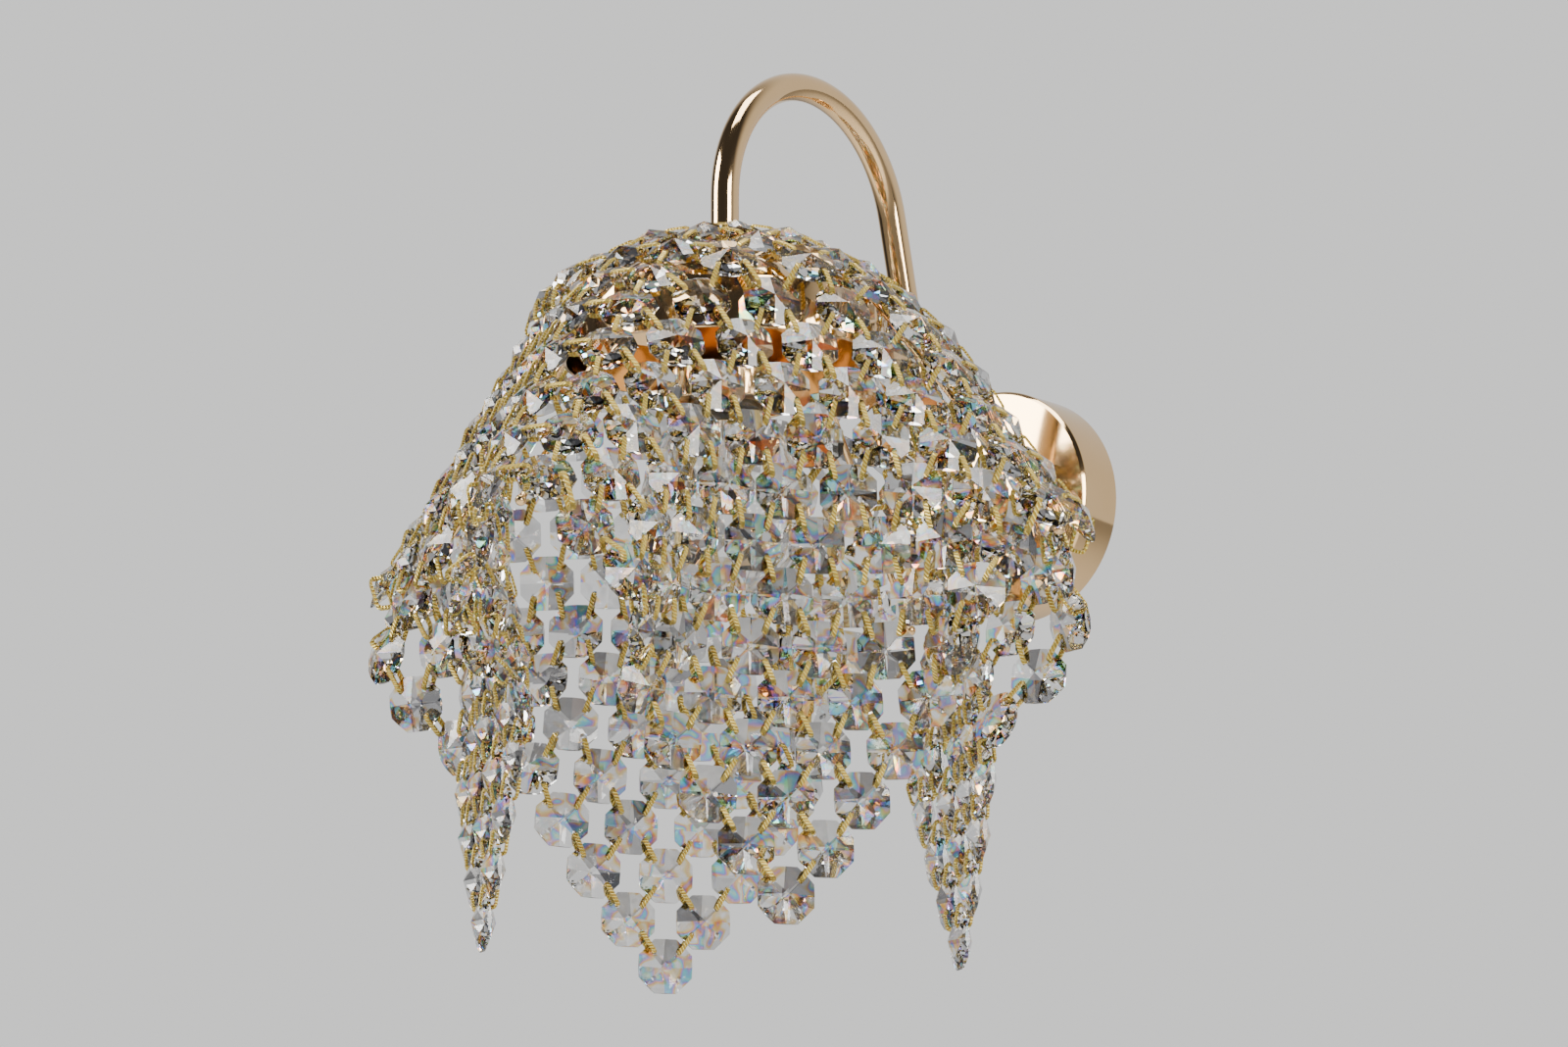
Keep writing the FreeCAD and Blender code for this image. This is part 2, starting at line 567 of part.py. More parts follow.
def pin_shape(start, end, up):
    """A wire pin as a slim bar with a ridged back, its flat side to the crystals."""
    run = (end - start).normalize()
    across = up.cross(run).normalize() * size("wire_r")
    back = run.cross(across).normalize()
    if back.dot(up) < 0:
        back = back * -1
    section = [start - across, start + across, start + back * size("wire_r") * 2]
    face = Part.Face(Part.makePolygon(section + section[:1]))
    return face.extrude(end - start)


corner_names = ("front", "right", "back", "left")
corner_azimuth = 52.4          # of the front corner, from -Y toward +X
net_place = Placement(Vector(0, -size("reach"), size("apex")),
                      Rotation(Vector(0, 0, 1), corner_azimuth - 90 - 45))


def corner_of(i, j):
    return corner_names[{(True, True): 0, (False, True): 1, (False, False): 2,
                         (True, False): 3}[(i >= 0, j >= 0)]]


def group_of(kind, i, j):
    row = row_of(i, j)
    if row <= crown_rows:
        return "crown_" + kind
    return ("face_" if row <= face_rows else "corner_") + kind + "_" + corner_of(i, j)


groups = {}
for kind in ("crystals", "pins"):
    groups["crown_" + kind] = []
    for part in ("face_", "corner_"):
        for name in corner_names:
            groups[part + kind + "_" + name] = []

one_crystal = crystal_shape()
steps = range(-side, side)
for i in steps:
    for j in steps:
        x, y, normal = crystal_frame(i, j)
        piece = one_crystal.copy()
        piece.Placement = net_place * Placement(centre(i, j), Rotation(x, y, normal, "ZXY"))
        groups[group_of("crystals", i, j)].append(piece)

bar_end = size("hole_offset") - 0.5
bar_height = facet_height(bar_end) + size("gap")
swing = 8.0                    # a hanging corner swings this far each way, degrees
swing_lines = {name: [] for name in corner_names}
tallest = 0                    # steps by which the most raised pin stands higher
for i in steps:
    for j in steps:
        for k, l in ((i + 1, j), (i, j + 1)):
            if k >= side or l >= side:
                continue
            first, second = sorted(((i, j), (k, l)), key=lambda spot: row_of(*spot))
            ends, ups = [], []
            angles = (0,)
            for here, there in ((first, second), (second, first)):
                x, y, normal = crystal_frame(*here)
                toward = centre(*there) - centre(*here)
                hole = x if here[1] == there[1] else y
                hole = hole if hole.dot(toward) > 0 else hole * -1
                if here == second and row_of(*first) == face_rows and row_of(*second) > face_rows:
                    angles = (-swing, 0, swing)
                    swing_lines[corner_of(*second)].append((centre(*first) + centre(*second)) * 0.5)
                ends.append(centre(*here) + hole * bar_end + normal * bar_height)
                ups.append(normal)
            for lift in range(40):     # where the net folds or swings, a pin stands higher
                touched = [not pin_clears(*ends, ups[0] + ups[1], *crystal)
                           for crystal in ((first, (0,)), (second, angles))]
                if not any(touched):
                    break
                ends = [end + normal * (touch * size("gap") / 3)
                        for end, normal, touch in zip(ends, ups, (touched[0], any(touched)))]
            tallest = max(tallest, lift)
            pin = pin_shape(ends[0], ends[1], ups[0] + ups[1])
            pin.Placement = net_place
            groups[group_of("pins", *first)].append(pin)

print("tallest pin raised by", tallest, "steps")

finished = []
for label, solids in groups.items():
    thing = doc.addObject("Part::Feature", label)
    thing.Shape = Part.makeCompound(solids)
    finished.append(thing)

# Ribs: a foot on the pan's rim and a straight rod under a ridge of the net.
ridge_x = math.sqrt(ridge_radius ** 2 - (pitch / 2) ** 2)
rib_run = Vector(ridge_x - rib_top_radius, 0, rib_top_drop - ridge_drop).normalize()
under = Vector(rib_run.z, 0, -rib_run.x) * size("rib_drop")
foot_x = size("pan_r") + size("gap")
rib_from = Vector(rib_top_radius, 0, -rib_top_drop) + under
rib_from = rib_from - rib_run * ((rib_from.x - foot_x - size("rib_foot") / 2) / rib_run.x)
rib_to = Vector(ridge_x, 0, -ridge_drop) + under + rib_run * 4
for k, name in enumerate(corner_names):
    place = net_place * Placement(Vector(0, 0, 0), Rotation(Vector(0, 0, 1), 90 * k))
    rod = cylinder("rod_" + name, named("rib_r"), "%.4f" % (rib_to - rib_from).Length,
                   place * Placement(rib_from, Rotation(Vector(0, 0, 1), rib_run)))
    foot_tab = box("foot_" + name, named("rib_foot"), named("rib_tab_width"),
                   named("rib_tab_height"),
                   place * Placement(Vector(foot_x, -size("rib_tab_width") / 2, rib_from.z - 9), Rotation()))
    knob = doc.addObject("Part::Sphere", "knob_" + name)
    bind(knob, Radius=named("rib_r") + " * 1.6")
    knob.Placement = place * Placement(rib_to, Rotation())
    finished.append(joined("rib_" + name, [rod, foot_tab, knob]))

finished += [wall_bracket, earth_screw, backplate_cover, cover_screw, arm_tube, arm_nut, arm_washer,
             terminal_block, terminal_screws, pan, pan_nut, lampholder_cup, cup_nut, lampholder_body,
             lampholder_shell, lampholder_contact, lamp_contact, lamp_cap, lamp_glass, lamp_filaments,
             lamp_stem]
doc.recompute()

# ---------------------------------------------------------------- check and export
for thing in doc.Objects:
    if "Invalid" in thing.State or "Error" in thing.State:
        raise RuntimeError("%s did not compute" % thing.Label)
for name, middles in swing_lines.items():
    middle = sum(middles, Vector(0, 0, 0)) * (1.0 / len(middles))
    off_line = max(abs(spot.dot(Vector(middle.x, middle.y, 0).normalize())
                       - math.hypot(middle.x, middle.y)) for spot in middles)
    level = max(abs(spot.z - middle.z) for spot in middles)
    print("swing line", name, net_place.multVec(middle), "strays", round(off_line, 1), round(level, 1))
for thing in finished:
    if thing.Shape.isNull() or not thing.Shape.isValid():
        raise RuntimeError("%s has no valid shape" % thing.Label)
    thing.Shape.exportStep("parts/%s.step" % thing.Label)
    print("%-26s solids %3d  volume %9.1f" % (thing.Label, len(thing.Shape.Solids), thing.Shape.Volume))
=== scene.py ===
import math
import random

import bmesh
import bpy
from mathutils import Matrix, Vector


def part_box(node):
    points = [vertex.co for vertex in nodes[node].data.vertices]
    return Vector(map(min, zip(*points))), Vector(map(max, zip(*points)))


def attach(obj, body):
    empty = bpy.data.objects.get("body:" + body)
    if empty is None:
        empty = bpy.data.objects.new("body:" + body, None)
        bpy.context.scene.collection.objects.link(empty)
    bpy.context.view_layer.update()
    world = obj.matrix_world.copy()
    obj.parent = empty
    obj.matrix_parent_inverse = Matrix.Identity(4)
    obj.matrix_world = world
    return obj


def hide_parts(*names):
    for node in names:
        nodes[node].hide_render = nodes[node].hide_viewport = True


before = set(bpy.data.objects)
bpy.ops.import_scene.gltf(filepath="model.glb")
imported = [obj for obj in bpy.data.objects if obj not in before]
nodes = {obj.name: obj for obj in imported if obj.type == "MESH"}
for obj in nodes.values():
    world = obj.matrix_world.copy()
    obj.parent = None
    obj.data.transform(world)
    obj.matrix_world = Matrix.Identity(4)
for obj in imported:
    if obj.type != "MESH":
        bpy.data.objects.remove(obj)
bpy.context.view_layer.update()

mm = 0.001
corners = ("front", "right", "back", "left")


# Finishes. A sum of node outputs is written as a plain expression.
class Wire:
    def __init__(self, finish, socket):
        self.finish, self.socket = finish, socket

    def sum(self, operation, other, swapped=False):
        pair = (other, self) if swapped else (self, other)
        return self.finish.node("Math", {"operation": operation}, {0: pair[0], 1: pair[1]})

    def __add__(self, other): return self.sum("ADD", other)
    def __radd__(self, other): return self.sum("ADD", other, True)
    def __sub__(self, other): return self.sum("SUBTRACT", other)
    def __rsub__(self, other): return self.sum("SUBTRACT", other, True)
    def __mul__(self, other): return self.sum("MULTIPLY", other)
    def __rmul__(self, other): return self.sum("MULTIPLY", other, True)
    def __gt__(self, other): return self.sum("GREATER_THAN", other)


class Finish:
    # one material; fixed numbers go straight onto the shader's sockets
    def __init__(self, name, **fixed):
        self.material = bpy.data.materials.new(name)
        self.material.use_nodes = True
        self.tree = self.material.node_tree
        self.shader = self.tree.nodes["Principled BSDF"]
        for key, value in fixed.items():
            self.shader.inputs[key.replace("_", " ")].default_value = value
        self.place = self.node("TexCoord", {}, {}, "Object")

    def plug(self, socket, value):
        if isinstance(value, Wire):
            self.tree.links.new(value.socket, socket)
        else:
            socket.default_value = value

    def node(self, kind, settings, inputs, output=0):
        made = self.tree.nodes.new("ShaderNode" + kind)
        for key, value in settings.items():
            if key == "stops":
                ramp = made.color_ramp
                while len(ramp.elements) < len(value):
                    ramp.elements.new(0.5)
                for element, (spot, colour) in zip(ramp.elements, value):
                    element.position, element.color = spot, colour
            else:
                setattr(made, key, value)
        for key, value in inputs.items():
            self.plug(made.inputs[key], value)
        return Wire(self, made.outputs[output])

    def drive(self, **links):
        for key, value in links.items():
            self.plug(self.shader.inputs[key.replace("_", " ")], value)
        return self

    def cloud(self, scale, detail=3.0, rough=0.5):
        return self.node("TexNoise", {}, {"Vector": self.place, "Scale": scale, "Detail": detail,
                                          "Roughness": rough})

    def stored(self, name):
        return self.node("Attribute", {"attribute_name": name}, {}, "Fac")

    def blend(self, amount, one, other):
        return self.node("Mix", {"data_type": "RGBA"}, {"Factor": amount, 6: one, 7: other}, 2)

    def relief(self, height, strength, distance=0.001):
        return self.drive(Normal=self.node("Bump", {}, {"Height": height, "Strength": strength,
                                                        "Distance": distance}))


def grey(level, blue=0.0):
    return (level, level, level + blue, 1)


# painted light for the crystals: dark streaks, white and rainbow glints of split light, painted
# into the glass colour
paintedFireStops = [(0.0, grey(0.20, 0.02)), (0.36, grey(1)), (0.47, grey(1)),
             (0.52, (1.0, 0.66, 0.14, 1)), (0.56, (1.0, 0.28, 0.08, 1)),
             (0.60, (0.16, 0.14, 0.90, 1)), (0.64, (0.05, 0.62, 0.92, 1)),
             (0.68, (0.35, 0.95, 0.40, 1)), (0.73, grey(1))]
# painted shade for the crystals: grey tints that make some facets look dark
paintedShadeStops = [(0.0, grey(0.10, 0.01)), (0.09, grey(0.30, 0.01)), (0.2, grey(0.80, -0.01)),
              (0.3, grey(1))]


def polishedGold():
    gold = Finish("polishedGold", Metallic=1.0, Coat_Weight=0.25, Coat_Roughness=0.04)
    breath = gold.cloud(38.0)                 # faint handling marks on the plating
    gold.drive(Base_Color=gold.blend(breath, (0.86, 0.60, 0.32, 1), (0.78, 0.50, 0.23, 1)),
               Roughness=0.05 + 0.07 * gold.cloud(16.0, 5.0))
    return gold.relief(gold.cloud(9.0, 1.0), 0.02)


def wireGold():
    # gold wire with slanting ribs, laid out on the loop's own length and width; its colour carries
    # painted shade in the rib grooves and a painted highlight on the crests
    gold = Finish("wireGold", Metallic=0.5)
    slant = gold.stored("along") + 0.55 * gold.stored("across")
    ribs = gold.node("Math", {"operation": "SINE"}, {0: slant * (2 * math.pi / 1.15)})
    ribPaintedLight = 0.5 * ribs + 0.5
    # painted light: the rib crests are painted bright gold and the grooves are painted dark as
    # shade
    gold.drive(Base_Color=gold.blend(ribPaintedLight, (0.55, 0.32, 0.03, 1), (1.0, 0.84, 0.24, 1)),
               Roughness=0.34 - 0.14 * ribPaintedLight + 0.08 * gold.cloud(400.0))
    return gold.relief(ribs, 0.9, 0.0004)


def cutCrystal():
    # clear glass with painted light in its colour: some facets carry a painted rainbow of split
    # light and dark streaks, others painted grey shade
    crystal = Finish("cutCrystal", IOR=1.56, Transmission_Weight=1.0)
    facet = crystal.stored("facet")
    streak = crystal.node("TexNoise", {"noise_dimensions": "4D"},
                          {"Vector": crystal.place, "W": facet * 40.0, "Scale": 130.0,
                           "Detail": 0.5, "Distortion": 0.6})
    paintedRainbow = crystal.node("ValToRGB", {"stops": paintedFireStops}, {0: streak}, "Color")
    # painted shade: facets with low values are painted grey so they look dark
    clear = crystal.node("ValToRGB", {"stops": paintedShadeStops}, {0: facet}, "Color")
    tint = crystal.blend(facet > 0.5, clear, paintedRainbow)
    return crystal.drive(Base_Color=tint, Roughness=0.004 + 0.012 * crystal.cloud(60.0))


def lampGlass():
    glass = Finish("clearLampGlass", Base_Color=(0.98, 0.98, 0.97, 1), IOR=1.46,
                   Transmission_Weight=1.0)
    return glass.drive(Roughness=0.01 + 0.03 * glass.cloud(30.0))


def plainMetal(name, light, dark, rough, grain):
    metal = Finish(name, Metallic=1.0)
    mask = metal.cloud(grain, 4.0)
    metal.drive(Base_Color=metal.blend(mask, light, dark), Roughness=rough + 0.15 * mask)
    return metal.relief(metal.cloud(grain * 6, 2.0), 0.12)


def moulded(name, light, dark, rough):
    plastic = Finish(name)
    mask = plastic.cloud(55.0, 4.0)
    plastic.drive(Base_Color=plastic.blend(mask, light, dark), Roughness=rough + 0.1 * mask)
    return plastic.relief(plastic.cloud(700.0, 2.0), 0.08)


def rolledThread():
    shell = Finish("rolledThread", Metallic=1.0)
    height = shell.node("SeparateXYZ", {}, {0: shell.place}, "Z")
    turns = shell.node("Math", {"operation": "SINE"}, {0: height * (2 * math.pi / 0.003629)})
    mask = shell.cloud(80.0)
    shell.drive(Base_Color=shell.blend(mask, (0.80, 0.80, 0.79, 1), (0.66, 0.66, 0.65, 1)),
                Roughness=0.2 + 0.15 * mask)
    return shell.relief(turns, 0.8, 0.0006)


def filamentCoat():
    coat = Finish("filamentCoat", Emission_Strength=0.15)
    mask = coat.cloud(900.0)
    tint = coat.blend(mask, (0.95, 0.78, 0.30, 1), (0.85, 0.60, 0.16, 1))
    return coat.drive(Base_Color=tint, Emission_Color=tint, Roughness=0.5 + 0.2 * mask)


finishes = {
    "gold": polishedGold(), "wire": wireGold(), "crystal": cutCrystal(), "lampGlass": lampGlass(),
    "steel": plainMetal("zincSteel", (0.66, 0.67, 0.68, 1), (0.48, 0.49, 0.50, 1), 0.3, 40.0),
    "brass": plainMetal("turnedBrass", (0.84, 0.66, 0.34, 1), (0.68, 0.50, 0.22, 1), 0.25, 60.0),
    "insulator": moulded("whiteInsulator", (0.90, 0.89, 0.86, 1), (0.82, 0.81, 0.77, 1), 0.25),
    "block": moulded("naturalBlock", (0.86, 0.85, 0.81, 1), (0.76, 0.75, 0.70, 1), 0.45),
    "thread": rolledThread(), "filament": filamentCoat(),
}
print("finishes made:", len(finishes))


def dress(thing, finish):
    thing.data.materials.clear()
    thing.data.materials.append(finishes[finish].material)


def finishPiece(bm, name, finish, body, standsFor, sharpAngle=None):
    # faces out, soft shading with the hard edges kept, riding on its body
    bmesh.ops.recalc_face_normals(bm, faces=bm.faces)
    if sharpAngle is not None:
        for edge in bm.edges:
            edge.smooth = not (len(edge.link_faces) == 2
                               and edge.calc_face_angle() > math.radians(sharpAngle))
    for face in bm.faces:
        face.smooth = sharpAngle is not None
    mesh = bpy.data.meshes.new(name)
    bm.to_mesh(mesh)
    bm.free()
    piece = bpy.data.objects.new(name, mesh)
    bpy.context.scene.collection.objects.link(piece)
    dress(piece, finish)
    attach(piece, body)
    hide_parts(*standsFor)
    return piece


def chain(bm, spots):
    made = [bm.verts.new(spot) for spot in spots]
    return made, [bm.edges.new(pair) for pair in zip(made, made[1:])]


def turnOut(profile, centre, axis, across, steps):
    # spins a closed profile of (radius, height) round an axis
    bm = bmesh.new()
    made, edges = chain(bm, [centre + across * r + axis * h for r, h in profile])
    edges.append(bm.edges.new((made[-1], made[0])))
    bmesh.ops.spin(bm, geom=made + edges, cent=centre, axis=axis, angle=2 * math.pi, steps=steps,
                   use_merge=True, use_duplicate=False)
    bmesh.ops.remove_doubles(bm, verts=bm.verts, dist=1e-6)
    return bm


def roundedProfile(spots, radius, steps=3):
    # rounds each corner of a closed profile
    rounded = []
    for k, here in enumerate(spots):
        before, after = Vector(spots[k - 1]), Vector(spots[(k + 1) % len(spots)])
        here = Vector(here)
        one, two = before - here, after - here
        cut = min(radius, one.length * 0.45, two.length * 0.45)
        start, end = here + one.normalized() * cut, here + two.normalized() * cut
        for step in range(steps + 1):
            t = step / steps
            rounded.append((start * (1 - t) ** 2 + here * 2 * t * (1 - t) + end * t ** 2)[:])
    return rounded


plate = {"radius": 41.6, "depth": 20.4, "wall": 1.2, "dome": 1.6, "edge": 1.2, "hole": 5.1,
         "domeSteps": 12, "steps": 128, "sharp": 28}


def makeBackplate():
    r, d, w = plate["radius"], plate["depth"], plate["wall"]
    face = []
    for k in range(plate["domeSteps"] + 1):    # shallow dome from the edge in to the tube's hole
        t = k / plate["domeSteps"]
        radius = (r - plate["edge"]) * (1 - t) + plate["hole"] * t
        face.append((radius, d + plate["dome"] * (1 - (radius / (r - plate["edge"])) ** 2)))
    edge = roundedProfile([(r - w, 0), (r, 0), (r, d - plate["edge"]), face[0]], 0.5)[4:-4]
    inner = [(plate["hole"], d - w + plate["dome"] * 0.98), (r - w, d - w)]
    profile = [(r - w, 0), (r - 0.3, 0), (r, 0.3)] + edge[4:] + face + inner
    bm = turnOut([(a * mm, b * mm) for a, b in profile], Vector((0, 0, 0)), Vector((0, -1, 0)),
                 Vector((1, 0, 0)), plate["steps"])
    return finishPiece(bm, "backplateShell", "gold", "fixture",
                       ["backplate_cover"], plate["sharp"])


makeBackplate()

neck = {"radius": 5.0, "wall": 1.0, "start": 11.0, "bend": 28.0, "arc": 49.7, "arcHeight": 83.3,
        "reach": 178.8, "legAngle": 75.7, "end": 46.0, "sides": 48, "bendSteps": 20, "arcSteps": 44,
        "sharp": 40}
reach = neck["reach"] * mm
headAxis = Vector((0, -reach, 0))


def makeNeck():
    leg = math.radians(neck["legAngle"])
    arcMid = Vector((neck["reach"] - neck["arc"], neck["arcHeight"]))
    arcStart = arcMid + Vector((-math.sin(leg), math.cos(leg))) * neck["arc"]
    foot = arcStart.x - arcStart.y / math.tan(leg)
    bendIn = neck["bend"] * math.tan(leg / 2)
    bendStart = foot - bendIn
    bendEnd = Vector((foot + bendIn * math.cos(leg), bendIn * math.sin(leg)))
    bm = bmesh.new()

    def out(away, up):
        return Vector((0, -away * mm, up * mm))

    for radius in (neck["radius"], neck["radius"] - neck["wall"]):
        ring = bmesh.ops.create_circle(bm, cap_ends=False, segments=neck["sides"],
                                       radius=radius * mm)
        bmesh.ops.rotate(bm, verts=ring["verts"], cent=(0, 0, 0),
                         matrix=Matrix.Rotation(math.pi / 2, 3, "X"))
        bmesh.ops.translate(bm, verts=ring["verts"], vec=out(neck["start"], 0))
    front = list(bm.edges)
    startEdges = list(front)

    def run(shift):
        nonlocal front
        new = bmesh.ops.extrude_edge_only(bm, edges=front)["geom"]
        bmesh.ops.translate(bm, vec=shift,
                            verts=[g for g in new if isinstance(g, bmesh.types.BMVert)])
        front = [g for g in new if isinstance(g, bmesh.types.BMEdge) and len(g.link_faces) == 1]

    def bend(centre, angle, steps):
        nonlocal front
        last = bmesh.ops.spin(bm, geom=front, cent=centre, axis=(1, 0, 0), angle=angle, steps=steps,
                              use_duplicate=False)["geom_last"]
        front = [g for g in last if isinstance(g, bmesh.types.BMEdge)]

    run(out(bendStart, 0) - out(neck["start"], 0))
    bend(out(bendStart, neck["bend"]), -leg, neck["bendSteps"])
    run(out(*arcStart) - out(*bendEnd))
    bend(out(*arcMid), math.pi / 2 + leg, neck["arcSteps"])
    run(out(neck["reach"], neck["end"]) - out(neck["reach"], neck["arcHeight"]))
    for ends in (startEdges, front):
        bmesh.ops.bridge_loops(bm, edges=ends)
    return finishPiece(bm, "gooseneck", "gold", "fixture", ["arm_tube"],
                       neck["sharp"])


makeNeck()
print("backplate and gooseneck made")

pan = {"apex": 63.5, "radius": 57.0, "rise": 22.0, "rim": 18.5, "wall": 1.5, "hole": 5.1,
       "lip": 0.4, "domeSteps": 20, "steps": 128, "sharp": 30}
cup = {"radius": 23.5, "top": 57.4, "length": 50.0, "wall": 1.2, "hole": 5.1, "edge": 0.5,
       "steps": 96, "sharp": 45}


def makePan():
    full, wall, rows = pan["radius"], pan["wall"], pan["domeSteps"]
    sphere = (full ** 2 + pan["rise"] ** 2) / (2 * pan["rise"])
    low = pan["apex"] - pan["rise"] - pan["rim"]

    def dome(radius, ball):
        return pan["apex"] - sphere + math.sqrt(ball ** 2 - radius ** 2)

    outer = [full * (1 - k / rows) + pan["hole"] * k / rows for k in range(rows + 1)]
    inner = [r * (full - wall) / full for r in reversed(outer)]
    inner[0] = pan["hole"]
    profile = [(full - wall, low), (full - pan["lip"], low), (full, low + pan["lip"])]
    profile += [(r, dome(r, sphere)) for r in outer]
    profile += [(r, dome(r, sphere - wall)) for r in inner]
    bm = turnOut([(a * mm, b * mm) for a, b in profile], headAxis, Vector((0, 0, 1)),
                 Vector((1, 0, 0)), pan["steps"])
    return finishPiece(bm, "panShell", "gold", "fixture", ["pan"], pan["sharp"])


def makeCup():
    r, t, b, w = cup["radius"], cup["top"], cup["top"] - cup["length"], cup["wall"]
    profile = roundedProfile([(r - w, b), (r, b), (r, t), (cup["hole"], t), (cup["hole"], t - w),
                              (r - w, t - w)], cup["edge"])
    bm = turnOut([(a * mm, h * mm) for a, h in profile], headAxis, Vector((0, 0, 1)),
                 Vector((1, 0, 0)), cup["steps"])
    return finishPiece(bm, "lampholderCup", "gold", "fixture", ["lampholder_cup"],
                       cup["sharp"])


makePan()
makeCup()

lamp = {"globe": 30.0, "wall": 1.0, "neck": 12.1, "height": 84.0, "straight": 12.0,
        "poleAngle": 4, "ballAngle": 122, "ballSteps": 14, "waistSteps": 8, "steps": 64,
        "sharp": 40}


def makeLampGlass():
    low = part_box("lamp_glass")[0].z
    top = lamp["height"] - lamp["straight"]

    def side(inset):
        spots = []
        ball = lamp["globe"] - inset
        for k in range(lamp["ballSteps"] + 1):     # the ball, from its pole up to the shoulder
            turn = math.radians(lamp["poleAngle"] + k * (lamp["ballAngle"] / lamp["ballSteps"]))
            spots.append((ball * math.sin(turn), lamp["globe"] - ball * math.cos(turn)))
        endR, endZ = spots[-1]
        for k in range(1, lamp["waistSteps"] + 1):     # a soft waist up to the straight neck
            t = k / lamp["waistSteps"]
            ease = t * t * (3 - 2 * t)
            spots.append((endR + (lamp["neck"] - inset - endR) * (0.35 * t + 0.65 * ease),
                          endZ + (top - endZ) * t))
        spots.append((lamp["neck"] - inset, lamp["height"]))
        return spots

    profile = side(0) + list(reversed(side(lamp["wall"])))
    bm = turnOut([(a * mm, b * mm + low) for a, b in profile], headAxis, Vector((0, 0, 1)),
                 Vector((1, 0, 0)), lamp["steps"])
    holes = [e for e in bm.edges if e.is_boundary]
    if holes:
        bmesh.ops.holes_fill(bm, edges=holes, sides=0)
    return finishPiece(bm, "lampBulb", "lampGlass", "lamp", ["lamp_glass"],
                       lamp["sharp"])


makeLampGlass()
print("pan, cup and lamp made")

crystal = {"flats": 19.4, "thick": 8.9, "girdle": 1.7, "holeSpot": 6.5, "holeRadius": 0.95,
           "seed": 7}
chance = random.Random(crystal["seed"])


def islands(node):
    # the node's solids, each as the list of its corner points
    bm = bmesh.new()
    bm.from_mesh(nodes[node].data)
    bmesh.ops.remove_doubles(bm, verts=bm.verts, dist=2e-6)
    left, found = dict.fromkeys(bm.verts), []
    while left:
        queue, seen = [left.popitem()[0]], []
        while queue:
            here = queue.pop()
            seen.append(here.co.copy())
            for edge in here.link_edges:
                other = edge.other_vert(here)
                if other in left:
                    del left[other]
                    queue.append(other)
        found.append(seen)
    bm.free()
    return found


def middleOf(spots):
    return sum(spots, Vector()) / len(spots)


def crystalCut():
    # an octagon with a point on each side; facet edges run to the middles of its flats,
    # and the four drilled holes lie on every other edge
    half, flat, turn = crystal["thick"] / 2, crystal["flats"] / 2, math.pi / 8
    slope = (half - crystal["girdle"] / 2) / (flat * math.cos(turn))
    spot, drill = crystal["holeSpot"], crystal["holeRadius"]
    around = [math.radians(t) for t in (180, 120, 60, 0)]
    outline = [(0, 0)] + [(spot + drill * math.cos(t), drill * math.sin(t)) for t in around]
    outline += [(flat, 0), (flat, flat * math.tan(turn)),
                (flat * math.cos(2 * turn), flat * math.sin(2 * turn))]
    bm = bmesh.new()
    sides = []
    for way in (1, -1):
        sides.append([bm.verts.new((x * mm, y * mm, way * mm
                                    * (half - slope * (x * math.cos(turn) + y * math.sin(turn)))))
                      for x, y in outline])
        bm.faces.new(sides[-1])
    top, bottom = sides
    for k in (1, 2, 3, 5, 6):
        bm.faces.new((top[k], bottom[k], bottom[k + 1], top[k + 1]))
    bmesh.ops.mirror(bm, geom=bm.verts[:] + bm.edges[:] + bm.faces[:], axis="Y", merge_dist=1e-6)
    bmesh.ops.spin(bm, geom=bm.verts[:] + bm.edges[:] + bm.faces[:], cent=(0, 0, 0), axis=(0, 0, 1),
                   angle=1.5 * math.pi, steps=3, use_duplicate=True)
    bmesh.ops.remove_doubles(bm, verts=bm.verts, dist=1e-6)
    bmesh.ops.recalc_face_normals(bm, faces=bm.faces)
    mesh = bpy.data.meshes.new("crystalCut")
    bm.to_mesh(mesh)
    bm.free()
    return mesh


def pinFrames(node):
    # each pin's two ends and the side that faces away from the crystals
    frames = []
    for spots in islands(node):
        a = max(spots, key=lambda s: (s - spots[0]).length)
        near = sorted(spots, key=lambda s: (s - a).length)
        ends = []
        for three in (near[:3], near[3:]):
            back = max(three, key=lambda s: sum((s - t).length for t in three))
            ends.append((middleOf([s for s in three if s is not back]), back))
        up = (ends[0][1] - ends[0][0]) + (ends[1][1] - ends[1][0])
        frames.append((ends[0][0], ends[1][0], up.normalized()))
    return frames


def crystalFrames(node, pins):
    # centre, a hole direction and the facing of each crystal
    frames = []
    for spots in islands(node):
        centre = middleOf(spots)
        ranked = sorted(spots, key=lambda s: (s - centre).length)
        facing = (ranked[0] - ranked[1]).normalized()
        rim = ranked[2:]
        end = min((e for pin in pins for e in pin[:2]), key=lambda e: (e - centre).length)
        toward = end - centre
        toward -= facing * toward.dot(facing)
        beside = sorted(rim, key=lambda s: -(s - centre).normalized().dot(toward.normalized()))[:2]
        hole = middleOf(beside) - centre
        hole = (hole - facing * hole.dot(facing)).normalized()
        frames.append((centre, hole, facing))
    return frames


cutMesh = crystalCut()


def placeMatrix(centre, x, z, scaleX=1.0):
    y = z.cross(x)
    return Matrix(((x.x * scaleX, y.x, z.x, centre.x), (x.y * scaleX, y.y, z.y, centre.y),
                   (x.z * scaleX, y.z, z.z, centre.z), (0, 0, 0, 1)))


def makeCrystals(node, pins, body):
    bm = bmesh.new()
    for centre, hole, facing in crystalFrames(node, pins):
        before = len(bm.verts)
        bm.from_mesh(cutMesh)
        bm.verts.ensure_lookup_table()
        bmesh.ops.transform(bm, matrix=placeMatrix(centre, hole, facing), verts=bm.verts[before:])
    piece = finishPiece(bm, "cut_" + node, "crystal", body, [node])
    facet = piece.data.attributes.new("facet", "FLOAT", "FACE")
    facet.data.foreach_set("value", [chance.random() for face in piece.data.polygons])
    return piece


# a pin is a flat ribbed wire bent into an oval through two holes
pinWire = {"width": 1.6, "thick": 0.85, "drop": 5.5, "round": 1.3, "baseLength": 9.3,
           "legInset": 0.5, "sides": 4, "bars": 5, "turns": 2, "sharp": 50}


